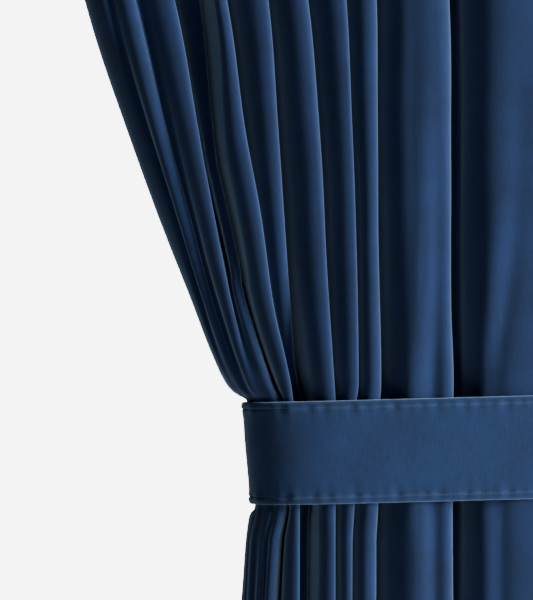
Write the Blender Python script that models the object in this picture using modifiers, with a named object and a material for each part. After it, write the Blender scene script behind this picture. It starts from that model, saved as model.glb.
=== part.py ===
"""Velvet drape held to one side by a tieback.

One flat panel of velvet is gathered along its top edge, falls in uneven folds,
and is drawn to the right by a plain band at about waist height. The panel is
an open sheet worked out row by row: at each height its plan follows an outline
(a rounded left side, a flat front and a tighter right side), and between two
fold crests the cloth goes back into a valley and returns. The flat distance
between two crest lines is the same at every height, so a fold that is squeezed
in width grows in depth.

Metres, +Z up, X to the right, the face of the drape towards -Y. The origin is
the middle of the top edge.
"""

from collections import namedtuple

import bpy
import numpy as np

MM = 0.001
QUARTER = np.pi / 2

# Driving sizes, in metres
DRAPE_DROP = 2.45
CLOTH_THICKNESS = 0.002
BAND_HEIGHT = 0.100
BAND_THICKNESS = 0.003
BAND_MIDDLE = -1.4534
PIECE_GAP = 0.0006

# Band: how much it rises for each metre to the right, how its left end leans
# in between its top and its bottom edge, how far its tails go back past the
# folds, their bend, and the space of the back tail from the drape's right side
BAND_RISE = 0.0265
BAND_LEFT_TOP = -0.0044
BAND_LEFT_BOTTOM = 0.0034
BAND_TAIL = 0.026
BAND_BEND = 0.012
BAND_TAIL_SPACE = 0.006
BAND_ROWS = 4
BAND_BEND_STEPS = 4

# Stretches of the band along its front run: round the left side, across the
# face between two distances from the ends, and round the right side
BAND_LEFT_RUN = 0.060
BAND_FACE_START = 0.085
BAND_FACE_END = 0.050
BAND_RIGHT_RUN = 0.038
BAND_LEFT_STEPS = 16
BAND_FACE_STEPS = 8
BAND_RIGHT_STEPS = 7

# How the plan outline turns at its two sides, and how far the side hems go back
LEFT_EASE = 0.033
RIGHT_EASE = 0.016
LEFT_RETURN = 0.032
RIGHT_RETURN = 0.030
LEFT_HEM_STEPS = 6
RIGHT_HEM_STEPS = 6

# Flat cloth between each side of the drape and the crest line next to it
FIRST_CREST_CLOTH = 0.040
LAST_CREST_CLOTH = 0.012

# Shares of a fold's width: from a crest to the valley on its right, and the
# part of each flank that is rounded into its crest
SHORT_FLANK = 0.36
WIDE_SHORT_FLANK = 0.24
TIGHT_SHORT_FLANK = 0.46
SHORT_CREST_ROUND = 0.60
LONG_CREST_ROUND = 0.70
TIGHT_CREST_ROUND = 0.50

# Widths of a wide and of a tight fold, and the narrowest that a fold can be
WIDE_FOLD = 0.060
TIGHT_FOLD = 0.022
LEAST_RUN = 0.0110

# Steps round a crest and along a flat stretch beside it
CREST_STEPS = 3
FLAT_STEPS = 5

# Depth of a fold: the shortest wall as a share of its cloth, the least cloth
# as a share of its width, the crown of a flat stretch, the depth at which a
# leaning fold turns, the deepest fold, and the share of the outline's own
# radius that a fold may take on a turned side
LEAST_WALL = 0.06
LEAST_CLOTH = 1.003
SHALLOWEST = 0.0005
ROOMY_DEPTH = 0.012
SHALLOW_RUN_SHARE = 0.45
FLAT_CROWN = 0.003
LEAN_REACH = 0.050
DEEPEST_FOLD = 0.056
TURNED_DEPTH_SHARE = 0.42
TURNED_WAY = 3
RIDGE_DEPTH = 0.020

# Heights of the table columns, measured down from the top edge, in metres
HEADING, SHOULDER = 0.0, 0.60
HIGH, UPPER, MIDDLE, LOWER, NECK = 1.04, 1.13, 1.215, 1.305, 1.386
WAIST, UNDER, SKIRT = 1.402, 1.505, 1.54
VIEW_HEIGHTS = (HIGH, UPPER, MIDDLE, LOWER, NECK, WAIST, UNDER, SKIRT)

# Share of its way sideways, from the heading to the first height of the
# table, that a crest has gone by the shoulder
SHOULDER_SHARE = 0.42

# Crest lines from left to right, in millimetres: the flat cloth from this
# crest to the next, how much the fold leans to the right, the share of its left
# flank that lies flat along its crest, and its right edge at each height
Fold = namedtuple("Fold", "name cloth lean flat high upper middle lower neck waist under skirt")
FIRST_EDGE = Fold._fields.index("high")
FOLDS = (
    Fold("edge_ridge", 36, 0.00, 0.0, -134, -108, -81, -52, -19, -4, 4, -3),
    Fold("edge_ripple", 46, 0.06, 0.0, -110, -89, -68, -43, -11, 0, 8, 2),
    Fold("bright_left", 100, 0.20, 0.0, -71, -55, -39, -22, 2, 11, 19, 12),
    Fold("inner_left", 108, 0.32, 0.0, -48, -40, -30, -9, 18, 24, 29, 22),
    Fold("third", 100, 0.40, 0.0, -20, -8, 7, 20, 38, 40, 46, 46),
    Fold("tucked", 108, 0.42, 0.0, 19, 25, 31, 36, 41, 44, 50, 50),
    Fold("fifth", 118, 0.42, 0.0, 57, 64, 70, 75, 80, 81, 81, 81),
    Fold("sixth", 110, 0.42, 0.0, 94, 98, 101, 103, 104, 102, 100, 98),
    Fold("seventh", 154, 0.40, 0.0, 122, 123, 124, 125, 126, 125, 123, 121),
    Fold("broad", 168, 0.34, 0.5, 192, 193, 194, 194, 196, 196, 195, 195),
    Fold("widest", 114, 0.26, 0.5, 284, 284, 284, 284, 284, 283, 283, 282),
    Fold("ninth", 104, 0.16, 0.0, 312, 312, 312, 312, 311, 311, 310, 310),
    Fold("last", 0, 0.06, 0.0, 334, 334, 334, 334, 332, 332, 331, 331),
)

# Crests that stand behind their neighbours, in millimetres
SetBack = namedtuple("SetBack", "name high upper middle lower neck waist under skirt")
SET_BACKS = (
    SetBack("inner_left", 24, 23, 16, 5, 0, 0, 0, 0),
    SetBack("tucked", 0, 0, 3, 13, 24, 24, 24, 24),
)

# Depth of the valley on the right of a crest, behind the deeper of the two
# crests beside it, in millimetres. The other valleys are as deep as their cloth
Valley = namedtuple(
    "Valley", "name heading shoulder high upper middle lower neck waist under skirt hem"
)
VALLEYS = (
    Valley("edge_ridge", 12, 7, 4, 4, 4, 3, 0.6, 0.5, 0.5, 0.6, 7),
    Valley("edge_ripple", 22, 13, 9, 9, 9, 8, 3, 0.6, 0.6, 1, 12),
    Valley("bright_left", 56, 56, 56, 56, 34, 5, 1, 1, 1, 2, 24),
)

# Soft ridges and troughs on the two wide folds, in millimetres: half width,
# height at the high and at the neck end, and where the middle of each runs
Ridge = namedtuple(
    "Ridge", "name half_width top_height low_height high upper middle lower neck skirt"
)
FIRST_MIDDLE = Ridge._fields.index("high")
RIDGES = (
    Ridge("broad_crest", 11, 1.0, 3.5, 172, 167, 166, 162, 156, 160),
    Ridge("broad_trough", 9, 0.0, -4.0, 184, 183, 182, 180, 177, 178),
    Ridge("widest_crest", 13, 1.5, 4.0, 244, 243, 240, 229, 216, 223),
    Ridge("widest_trough", 10, 0.0, -3.5, 262, 262, 258, 247, 234, 240),
)

# Left and right sides and front of the whole drape: depth below the top edge
# in metres, and place in millimetres
Station = namedtuple("Station", "down place")
LEFT_SIDE = (
    Station(0.0, -344), Station(0.60, -264), Station(1.04, -154), Station(1.13, -127),
    Station(1.215, -97), Station(1.305, -58), Station(1.36, -36), Station(1.385, -24),
    Station(1.394, -16), Station(1.402, -3.2), Station(1.454, 0.8), Station(1.505, 4.8),
    Station(1.515, -1), Station(1.565, -8), Station(1.90, -34), Station(2.45, -62),
)
RIGHT_SIDE = (
    Station(0.0, 344), Station(1.04, 343), Station(1.37, 340), Station(1.53, 340),
    Station(1.90, 346), Station(2.45, 356),
)
FRONT = (
    Station(0.0, -24), Station(0.60, -29), Station(1.04, -32), Station(1.37, -34),
    Station(1.388, -31), Station(1.508, -31), Station(1.53, -33), Station(1.90, -31),
    Station(2.45, -28),
)

# Share of its lean that a fold has at each depth
Share = namedtuple("Share", "down share")
LEAN_SHARE = (
    Share(0.0, 0.15), Share(0.60, 0.6), Share(1.04, 1.0), Share(1.54, 1.0),
    Share(2.0, 0.7), Share(2.45, 0.5),
)

# Slow wander of the crests away from the band, so that no two folds match:
# its size and length, the depths beyond which it starts, and how it fades in
WANDER = 0.0035
WANDER_LENGTH = 0.62
WANDER_ABOVE = 0.98
WANDER_BELOW = 1.60
WANDER_FADE = 0.40
FOLD_PHASE = 2.4

# Unevenness of the crests' depth, which fades in on both sides of the tie
CREST_UNEVEN = 0.0022
UNEVEN_PACE = 1.7
TIE_DOWN = 1.45
LEVEL_REACH = 0.0675
LOOSENING = 0.15

# How far the folds have evened out at the hem
HEM_EVENNESS = 0.45

# Rows of the panel, measured down from the top edge
ROWS = (
    0.0, 0.12, 0.30, 0.50, 0.70, 0.88, 1.04, 1.13, 1.215, 1.30, 1.36, 1.386, 1.395,
    WAIST, UNDER, 1.516, 1.58, 1.75, 1.98, 2.20, DRAPE_DROP,
)

# Fineness of the tables that the outline and the flanks are read from
TURN_BEFORE = -0.12
TURN_AFTER = 0.70
TURN_STEP = 0.0005
WAY_SAMPLES = 900
FLATTEST_ARC = 0.05
ARC_SAMPLES = 200

DRAPE_COLOUR = (0.010, 0.022, 0.075, 1.0)
BAND_COLOUR = (0.014, 0.029, 0.086, 1.0)
VELVET_ROUGHNESS = 0.85


def clear_scene():
    for obj in list(bpy.data.objects):
        bpy.data.objects.remove(obj, do_unlink=True)


def velvet(name, colour):
    material = bpy.data.materials.new(name)
    material.use_nodes = True
    shader = material.node_tree.nodes["Principled BSDF"]
    shader.inputs["Base Color"].default_value = colour
    shader.inputs["Roughness"].default_value = VELVET_ROUGHNESS
    shader.inputs["Metallic"].default_value = 0.0
    material.diffuse_color = colour
    return material


def even_curve(stations, values, at):
    """A smooth curve through the values that never passes beyond them."""
    stations = np.asarray(stations, float)
    values = np.asarray(values, float)
    step = np.diff(stations)[:, None]
    rise = np.diff(values, axis=0) / step
    before, after = rise[:-1], rise[1:]
    product = before * after
    safe = np.where(product > 0, before + after, 1.0)
    slope = np.zeros_like(values)
    slope[1:-1] = np.where(product > 0, 2 * product / safe, 0.0)
    slope[-1] = rise[-1]
    cell = np.clip(np.searchsorted(stations, at, side="right") - 1, 0, len(stations) - 2)
    width = step[cell]
    t = ((at - stations[cell])[:, None]) / width
    return (
        values[cell] * (1 + 2 * t) * (1 - t) ** 2
        + slope[cell] * width * t * (1 - t) ** 2
        + values[cell + 1] * t**2 * (3 - 2 * t)
        + slope[cell + 1] * width * t**2 * (t - 1)
    )


def read_table(table, down):
    """Second column of a table of depths, read at each depth, as one column."""
    heights = [row[0] for row in table]
    values = [[row[1]] for row in table]
    return even_curve(heights, values, down)


def side_at(stations, down):
    """Place of one side of the drape at each depth, in metres."""
    return read_table(stations, down) * MM


def running_sum(values):
    """Sum of a curve's values over its own steps, starting at nothing."""
    steps = (values[1:] + values[:-1]) / 2 * TURN_STEP
    return np.concatenate([[0], np.cumsum(steps)])


def side_turn(ease):
    """Table of the way along a side's outline against its three values.

    The outline starts at the side's outermost point, facing sideways, and
    turns to face the front by a quarter turn that dies away exponentially.
    Before that point it goes on turning to the back at the same rate. The
    values are the lag behind a straight line across, the fall behind the
    front, and the angle away from facing the front.
    """
    way = np.arange(TURN_BEFORE, TURN_AFTER, TURN_STEP)
    away = QUARTER * np.where(way > 0, np.exp(-np.maximum(way, 0) / ease), 1 - way / ease)
    across = running_sum(np.cos(away))
    back = running_sum(np.sin(away))
    start = np.searchsorted(way, 0)
    lag = (way - way[start]) - (across - across[start])
    fall = back[-1] - back
    return way, lag, fall, away


LEFT_TURN = side_turn(LEFT_EASE)
RIGHT_TURN = side_turn(RIGHT_EASE)
LEFT_LAG = LEFT_TURN[1][-1]
RIGHT_LAG = RIGHT_TURN[1][-1]


def read_turn(turn, way):
    grid, *columns = turn
    return (np.interp(way, grid, column) for column in columns)


def outline_length(left, right):
    return right - left + LEFT_LAG + RIGHT_LAG


def on_outline(way, inward, left, right, front):
    """Plan place of a point that lies a given way along the outline, and
    some distance inward from it."""
    from_right = outline_length(left, right) - way
    left_lag, left_fall, left_away = read_turn(LEFT_TURN, way)
    right_lag, right_fall, right_away = read_turn(RIGHT_TURN, from_right)
    x = left + way - left_lag - (RIGHT_LAG - right_lag)
    y = front + left_fall + right_fall
    facing_x = np.sin(right_away) - np.sin(left_away)
    facing_y = -np.cos(left_away) * np.cos(right_away)
    return x - inward * facing_x, y - inward * facing_y


def way_of(x, left, right):
    """The way along the outline at which it stands at x, for each row."""
    found = np.empty_like(x)
    for row in range(len(x)):
        way = np.linspace(0, float(outline_length(left[row, 0], right[row, 0])), WAY_SAMPLES)
        place = on_outline(way, 0.0, left[row, 0], right[row, 0], 0.0)[0]
        found[row] = np.interp(x[row], place, way)
    return found


def edge_stations():
    """Right edge of every crest at the heading, the shoulder, the heights of
    the table and the hem.

    At the heading the crests stand by their share of the cloth, and at the
    hem halfway between that and the way they leave the band.
    """
    left_heading, right_heading = LEFT_SIDE[0].place * MM, RIGHT_SIDE[0].place * MM
    left_hem, right_hem = LEFT_SIDE[-1].place * MM, RIGHT_SIDE[-1].place * MM
    cloth = np.array([fold.cloth for fold in FOLDS]) * MM
    before = np.concatenate([[0], np.cumsum(cloth[:-1])])
    start = LEFT_RETURN + FIRST_CREST_CLOTH
    whole = start + before[-1] + RIGHT_RETURN + LAST_CREST_CLOTH
    share = (start + before) / whole
    view = np.array([fold[FIRST_EDGE:] for fold in FOLDS]).T * MM
    heading = left_heading + (right_heading - left_heading) * share
    shoulder = heading + (view[0] - heading) * SHOULDER_SHARE
    skirt = np.array([SKIRT])
    skirt_left = float(side_at(LEFT_SIDE, skirt)[0, 0])
    skirt_right = float(side_at(RIGHT_SIDE, skirt)[0, 0])
    kept = (view[-1] - skirt_left) / (skirt_right - skirt_left)
    spread = kept + (share - kept) * HEM_EVENNESS
    hem = left_hem + (right_hem - left_hem) * spread
    return np.vstack([heading, shoulder, view, hem])


def crest_lines(down):
    """Both sides, and each crest's edge, set-back and lean, rows by folds."""
    left, right = side_at(LEFT_SIDE, down), side_at(RIGHT_SIDE, down)
    stations = (HEADING, SHOULDER, *VIEW_HEIGHTS, DRAPE_DROP)
    edge = even_curve(stations, edge_stations(), down)

    names = [fold.name for fold in FOLDS]
    back = np.zeros((len(stations), len(FOLDS)))
    for row in SET_BACKS:
        back[2:-1, names.index(row.name)] = np.array(row[1:]) * MM
    set_back = even_curve(stations, back, down)

    number = np.arange(len(FOLDS))
    above, below = WANDER_ABOVE - down, down - WANDER_BELOW
    free = np.clip(np.maximum(above, below) / WANDER_FADE, 0, 1)[:, None]
    turn = 2 * np.pi * down[:, None] / WANDER_LENGTH + FOLD_PHASE * number
    edge = edge + WANDER * free * np.sin(turn)
    from_tie = np.abs(down - TIE_DOWN) - LEVEL_REACH
    loose = np.clip(from_tie / LOOSENING, 0, 1)[:, None]
    uneven = 1 + np.sin(UNEVEN_PACE * turn + number)
    set_back = set_back + CREST_UNEVEN * loose * uneven
    lean = np.array([fold.lean for fold in FOLDS]) * read_table(LEAN_SHARE, down)
    return left, right, edge, set_back, lean


def flank(run, cloth, crest_round, crest, wall, valley):
    """One side of a fold, from its crest down to the valley.

    It is an arc, a straight wall and an arc back. The arcs turn a quarter
    where there is cloth enough, and otherwise by the angle at which arcs and
    the shortest wall together span the run. Crest, wall and valley say how
    far along each of the three the point is, from 0 to 1.
    """
    angles = np.linspace(QUARTER, FLATTEST_ARC, ARC_SAMPLES)
    arcs = 1 - LEAST_WALL
    spans = arcs * np.sin(angles) / angles + LEAST_WALL * np.cos(angles)
    angle = np.interp(run / cloth, spans, angles)
    radius = np.minimum(arcs * cloth / angle, run / np.sin(angle))
    straight = cloth - radius * angle
    top, low = crest_round * radius, (1 - crest_round) * radius
    rest = angle * (1 - valley)
    across = top * np.sin(crest * angle) + straight * wall * np.cos(angle)
    across = across + low * (np.sin(angle) - np.sin(rest))
    inward = top * (1 - np.cos(crest * angle)) + straight * wall * np.sin(angle)
    inward = inward + low * (np.cos(rest) - np.cos(angle))
    return across, inward


def fold_columns():
    """The columns of the panel between its first and its last crest.

    Each is the fold it belongs to, 0 for the flank on the right of that crest
    or 1 for the flank that climbs to the next one, and how far along the flat,
    crest arc, wall and valley arc it lies.
    """
    columns = []
    for number in range(len(FOLDS) - 1):
        down_steps = [(0, 0, k / 2, 0, 0) for k in range(2)]
        down_steps += [(0, 0, 1, 0, 0), (0, 0, 1, 1, 0)]
        up_steps = [(1, 1, 1, 1, 1), (1, 1, 1, 1, 0)]
        up_steps += [(1, 1, 1 - k / CREST_STEPS, 0, 0) for k in range(CREST_STEPS)]
        if FOLDS[number + 1].flat > 0:
            up_steps += [(1, 1 - k / FLAT_STEPS, 0, 0, 0) for k in range(FLAT_STEPS)]
        columns += [(number, *step) for step in down_steps + up_steps]
    return np.array(columns).T


def tightness(run):
    """From 0 on a roomy fold to 1 on one as narrow as a fold can be."""
    return np.clip((TIGHT_FOLD - run) / (TIGHT_FOLD - LEAST_RUN), 0, 1)


def valley_depths(down, set_back):
    """Depth that the valley on the right of each crest may have, from the
    front, and the least width of a fold around it: a shallow one is narrower."""
    stations = (HEADING, SHOULDER, *VIEW_HEIGHTS, DRAPE_DROP)
    names = [fold.name for fold in FOLDS]
    table = np.full((len(stations), len(FOLDS) - 1), DEEPEST_FOLD)
    for row in VALLEYS:
        table[:, names.index(row.name)] = np.array(row[1:]) * MM
    depth = even_curve(stations, table, down)
    least = LEAST_RUN * np.clip(depth / ROOMY_DEPTH, SHALLOW_RUN_SHARE, 1)
    behind = np.maximum(set_back[:, :-1], set_back[:, 1:])
    return np.minimum(behind + depth, DEEPEST_FOLD), least


def short_flank(run, least):
    """Width of the flank on the right of a crest, for a fold of this width."""
    wide = np.clip((run - WIDE_FOLD / 2) / (WIDE_FOLD / 2), 0, 1)
    tight = tightness(run)
    share = SHORT_FLANK + (WIDE_SHORT_FLANK - SHORT_FLANK) * wide
    share = share + (TIGHT_SHORT_FLANK - SHORT_FLANK) * tight
    return share * np.maximum(run, least)


def valley_starts(left, right, edge, set_back, lean, least):
    """Way along the outline at which each crest starts to fall to its right.

    Seen from the front, a crest's right edge lies further right by its
    rounding and its lean. Two crests stay the narrowest fold apart.
    """
    start = way_of(edge, left, right) - lean * (LEAN_REACH - set_back)
    short = short_flank(np.diff(start, axis=1), least)
    overhang = np.sqrt(1 + lean[:, :-1] ** 2) - lean[:, :-1]
    start[:, :-1] -= SHORT_CREST_ROUND * short * overhang
    room = np.hstack([np.zeros_like(left), np.cumsum(least, axis=1)])
    return np.maximum.accumulate(start - room, axis=1) + room


def cloth_of(depth, run):
    """Cloth that a flank of this depth and width takes: two equal arcs, which
    turn a quarter each once the depth reaches the width, and then a wall."""
    angle = 2 * np.arctan(np.clip(depth / run, SHALLOWEST / run, 1))
    return run * angle / np.sin(angle) + np.maximum(depth - run, 0)


def flank_cloth(start, set_back, deepest, flat_run, short, long):
    """Cloth of the flanks on the right and on the left of each valley.

    Cloth that has no room in depth is left out: on a turned side a valley
    stays within a share of the outline's own radius.
    """
    cloth = np.array([fold.cloth for fold in FOLDS[:-1]]) * MM - flat_run
    middle = (start[:, 1:] + start[:, :-1]) / 2
    turn_radius = LEFT_EASE / QUARTER * np.exp(np.minimum(middle / LEFT_EASE, TURNED_WAY))
    deepest = np.minimum(deepest, TURNED_DEPTH_SHARE * turn_radius)
    drop_change = set_back[:, 1:] - set_back[:, :-1] + (QUARTER - 1) * (short - long)
    right_cloth = np.maximum((cloth + drop_change) / 2, short * LEAST_CLOTH)
    left_cloth = np.maximum(cloth - right_cloth, long * LEAST_CLOTH)
    right_most = cloth_of(deepest - set_back[:, :-1], short)
    left_most = cloth_of(deepest - set_back[:, 1:], long)
    return np.minimum(right_cloth, right_most), np.minimum(left_cloth, left_most)


def panel_points(down):
    """Points of the drape's middle surface, rows by columns by xyz."""
    left, right, edge, set_back, lean = crest_lines(down)
    front = side_at(FRONT, down)
    deepest, least = valley_depths(down, set_back)
    start = valley_starts(left, right, edge, set_back, lean, least)
    run = np.diff(start, axis=1)
    short = short_flank(run, least)
    flat_run = (run - short) * np.array([fold.flat for fold in FOLDS[1:]])
    long = run - short - flat_run
    right_cloth, left_cloth = flank_cloth(start, set_back, deepest, flat_run, short, long)

    tight = tightness(run)
    short_round = SHORT_CREST_ROUND + (TIGHT_CREST_ROUND - SHORT_CREST_ROUND) * tight
    long_round = LONG_CREST_ROUND + (TIGHT_CREST_ROUND - LONG_CREST_ROUND) * tight
    right_back, left_back = set_back[:, :-1], set_back[:, 1:]
    right_valley = flank(short, right_cloth, short_round, 1, 1, 1)[1] + right_back
    left_valley = flank(long, left_cloth, long_round, 1, 1, 1)[1] + left_back
    valley = (right_valley + left_valley) / 2
    down_scale = (valley - right_back) / (right_valley - right_back)
    up_scale = (valley - left_back) / (left_valley - left_back)

    fold, climbs, flat, crest, wall, low = fold_columns()
    fold = fold.astype(int)
    falls = (short[:, fold], right_cloth[:, fold], short_round[:, fold])
    rises = (long[:, fold], left_cloth[:, fold], long_round[:, fold])
    fall_across, fall_inward = flank(*falls, crest, wall, low)
    rise_across, rise_inward = flank(*rises, crest, wall, low)
    fall_way = start[:, fold] + fall_across
    rise_way = start[:, fold + 1] - rise_across - flat_run[:, fold] * flat
    fall_inward = right_back[:, fold] + fall_inward * down_scale[:, fold]
    rise_inward = left_back[:, fold] + rise_inward * up_scale[:, fold]
    way = np.where(climbs > 0, rise_way, fall_way)
    inward = np.where(climbs > 0, rise_inward, fall_inward)
    crown = FLAT_CROWN * flat**2 * (flat_run[:, fold] > 0)
    inward = inward + crown * (1 - np.maximum(wall, low))

    part = (way - start[:, fold]) / run[:, fold]
    column_lean = lean[:, fold] + (lean[:, fold + 1] - lean[:, fold]) * part
    way = way + column_lean * (LEAN_REACH - inward)
    lift = ridges(way, inward, down, left, right, front)
    inward = inward - np.minimum(lift, inward)

    first, last_back = inward[:, :1], set_back[:, -1:]
    last = start[:, -1:] + lean[:, -1:] * (LEAN_REACH - last_back)
    end = outline_length(left, right) + RIGHT_RETURN
    left_share = np.arange(LEFT_HEM_STEPS) / LEFT_HEM_STEPS
    left_hem = -LEFT_RETURN + (way[:, :1] + LEFT_RETURN) * left_share
    right_hem = last + (end - last) * np.linspace(0, 1, RIGHT_HEM_STEPS)
    left_inward = np.broadcast_to(first, left_hem.shape)
    right_inward = np.broadcast_to(last_back, right_hem.shape)
    way = np.hstack([left_hem, way, right_hem])
    inward = np.hstack([left_inward, inward, right_inward])
    x, y = on_outline(way, inward, left, right, front)
    z = np.broadcast_to(-down[:, None], x.shape)
    return np.stack([x, y, z], axis=2)


def ridges(way, inward, down, left, right, front):
    """How far the soft ridges lift each point towards the front."""
    x = on_outline(way, inward, left, right, front)[0]
    stations = (HEADING, HIGH, UPPER, MIDDLE, LOWER, NECK, SKIRT, DRAPE_DROP)
    lift = np.zeros_like(x)
    for ridge in RIDGES:
        run = [ridge.high, *ridge[FIRST_MIDDLE:], ridge.skirt]
        grown = np.linspace(ridge.top_height, ridge.low_height, len(stations) - 3)
        heights = [0, *grown, ridge.low_height, 0]
        middle = even_curve(stations, np.array(run)[:, None] * MM, down)
        height = even_curve(stations, np.array(heights)[:, None] * MM, down)
        near_front = np.clip(1 - inward / RIDGE_DEPTH, 0, 1)
        lift += height * near_front * np.exp(-(((x - middle) / (ridge.half_width * MM)) ** 2))
    return lift


def grid_faces(rows, columns):
    """Quads of a grid, turned so that they face outwards from the drape."""
    corner = np.arange(rows * columns).reshape(rows, columns)
    return np.stack(
        [corner[:-1, :-1], corner[1:, :-1], corner[1:, 1:], corner[:-1, 1:]], axis=2
    ).reshape(-1, 4)


def sheet_object(name, points, thickness, material, collection):
    """A grid of points as an open surface with Solidify on both its sides."""
    rows, columns = points.shape[:2]
    mesh = bpy.data.meshes.new(name)
    mesh.from_pydata(points.reshape(-1, 3).tolist(), [], grid_faces(rows, columns).tolist())
    mesh.materials.append(material)
    mesh.shade_smooth()
    obj = bpy.data.objects.new(name, mesh)
    collection.objects.link(obj)
    shell = obj.modifiers.new("thickness", "SOLIDIFY")
    shell.thickness = thickness
    shell.offset = 0.0
    return obj


def band_path(left, right, front):
    """Plan of the band's middle surface, from its back end round to its front end.

    The back run passes behind the folds and turns into a tail that points at
    the wall. The front run follows the outline of the drape round its left
    side, across its face and round its right side, into the other tail.
    """
    away = CLOTH_THICKNESS / 2 + PIECE_GAP + BAND_THICKNESS / 2
    length = outline_length(left, right)
    round_left = np.linspace(-LEFT_EASE, BAND_LEFT_RUN, BAND_LEFT_STEPS)
    across_face = np.linspace(BAND_FACE_START, length - BAND_FACE_END, BAND_FACE_STEPS)
    round_right = np.linspace(length - BAND_RIGHT_RUN, length, BAND_RIGHT_STEPS)
    way = np.concatenate([round_left, across_face, round_right])
    x, y = on_outline(way, -away, left, right, front)

    tail_end = y[0] + BAND_TAIL
    tail_x = right - BAND_TAIL_SPACE
    bend = np.linspace(0, QUARTER, BAND_BEND_STEPS)
    bend_x = tail_x - BAND_BEND * (1 - np.cos(bend))
    bend_y = y[0] + BAND_BEND * (1 - np.sin(bend))
    path_x = np.concatenate([[tail_x], bend_x, [(x[0] + right) / 2], x, [x[-1], x[-1]]])
    front_tail_y = [(y[-1] + tail_end) / 2, tail_end]
    path_y = np.concatenate([[tail_end], bend_y, [y[0]], y, front_tail_y])
    return path_x, path_y


def band_points():
    """Points of the band's middle surface, rows by columns by xyz."""
    middle = np.array([-BAND_MIDDLE])
    right = float(side_at(RIGHT_SIDE, middle)[0, 0])
    front = float(side_at(FRONT, middle)[0, 0])
    rows = []
    for share in np.linspace(0, 1, BAND_ROWS):
        left = BAND_LEFT_TOP + (BAND_LEFT_BOTTOM - BAND_LEFT_TOP) * share
        x, y = band_path(left, right, front)
        z = BAND_MIDDLE + BAND_HEIGHT * (0.5 - share) + BAND_RISE * (x - left)
        rows.append(np.stack([x, y, z], axis=1))
    return np.stack(rows)


def build():
    clear_scene()
    collection = bpy.data.collections.new("velvet_drape_with_tieback")
    bpy.context.scene.collection.children.link(collection)
    drape_velvet = velvet("drape_velvet", DRAPE_COLOUR)
    band_velvet = velvet("band_velvet", BAND_COLOUR)
    drape = panel_points(np.array(ROWS))
    sheet_object("drape_panel", drape, CLOTH_THICKNESS, drape_velvet, collection)
    sheet_object("tieback_band", band_points(), BAND_THICKNESS, band_velvet, collection)


build()
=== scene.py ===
"""Looks of a velvet drape held to one side by a tieback, as a Blender add-on
that is run as a script. Metres, +Z up, X to the right, the face towards -Y."""

from collections import namedtuple

import bpy
import numpy as np
from bpy.props import FloatProperty, FloatVectorProperty, PointerProperty
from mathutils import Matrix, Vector


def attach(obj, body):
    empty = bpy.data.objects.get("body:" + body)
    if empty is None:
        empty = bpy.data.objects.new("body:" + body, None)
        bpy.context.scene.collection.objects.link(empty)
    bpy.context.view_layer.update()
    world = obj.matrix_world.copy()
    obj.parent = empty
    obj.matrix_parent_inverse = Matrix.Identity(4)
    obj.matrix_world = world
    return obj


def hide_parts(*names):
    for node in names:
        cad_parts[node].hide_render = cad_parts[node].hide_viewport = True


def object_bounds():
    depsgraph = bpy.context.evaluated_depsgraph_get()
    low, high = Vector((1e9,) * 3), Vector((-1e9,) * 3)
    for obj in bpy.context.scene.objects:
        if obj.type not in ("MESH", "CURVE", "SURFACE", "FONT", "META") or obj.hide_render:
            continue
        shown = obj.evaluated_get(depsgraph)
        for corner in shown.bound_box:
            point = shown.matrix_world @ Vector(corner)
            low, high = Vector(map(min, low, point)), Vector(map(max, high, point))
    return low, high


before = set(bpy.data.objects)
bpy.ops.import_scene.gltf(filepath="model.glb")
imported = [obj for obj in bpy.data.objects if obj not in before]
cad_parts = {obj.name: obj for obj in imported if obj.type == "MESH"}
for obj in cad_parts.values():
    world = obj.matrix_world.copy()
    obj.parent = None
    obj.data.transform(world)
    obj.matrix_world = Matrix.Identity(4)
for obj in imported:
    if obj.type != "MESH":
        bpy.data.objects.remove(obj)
CAD_BOX = [list(corner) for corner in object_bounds()]

bl_info = {
    "name": "Velvet Drape with Tieback",
    "version": (1, 0, 0),
    "blender": (4, 5, 0),
    "location": "View3D > Sidebar > Drape",
    "description": "Builds a gathered velvet drape, its tieback band, their stitching and a studio",
    "category": "Add Mesh",
}

MM = 0.001
QUARTER = np.pi / 2
SMALLEST = 1e-12

# How the plan outline turns at its two sides, how far the side hems go back,
# and the flat cloth between each side and the crest next to it, in metres
LEFT_EASE = 0.033
RIGHT_EASE = 0.016
LEFT_RETURN = 0.032
RIGHT_RETURN = 0.030
FIRST_CREST_CLOTH = 0.040
LAST_CREST_CLOTH = 0.012

# Shares of a fold's width and of its flanks, by how wide the fold is
SHORT_FLANK = 0.36
WIDE_SHORT_FLANK = 0.24
TIGHT_SHORT_FLANK = 0.46
SHORT_CREST_ROUND = 0.60
LONG_CREST_ROUND = 0.70
TIGHT_CREST_ROUND = 0.50
WIDE_FOLD = 0.060
TIGHT_FOLD = 0.022
LEAST_RUN = 0.0110

# Depth of a fold, in metres: the shallowest and the deepest, the depth from
# which it keeps its full least width and the share of that width that a
# shallower one keeps, the shortest wall as a share of its cloth, and the least
# cloth as a share of its width
SHALLOWEST = 0.0005
DEEPEST_FOLD = 0.056
ROOMY_DEPTH = 0.012
SHALLOW_RUN_SHARE = 0.45
LEAST_WALL = 0.06
LEAST_CLOTH = 1.003

# Depth of a fold on a turned side, as a share of the outline's radius there,
# and how many eases along the outline that radius still grows
TURNED_DEPTH_SHARE = 0.42
TURNED_WAY = 3

# Crown of a flat stretch, the depth at which a leaning fold turns, and how far
# behind the front a soft ridge still shows, in metres
FLAT_CROWN = 0.003
LEAN_REACH = 0.050
RIDGE_DEPTH = 0.020

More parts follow.
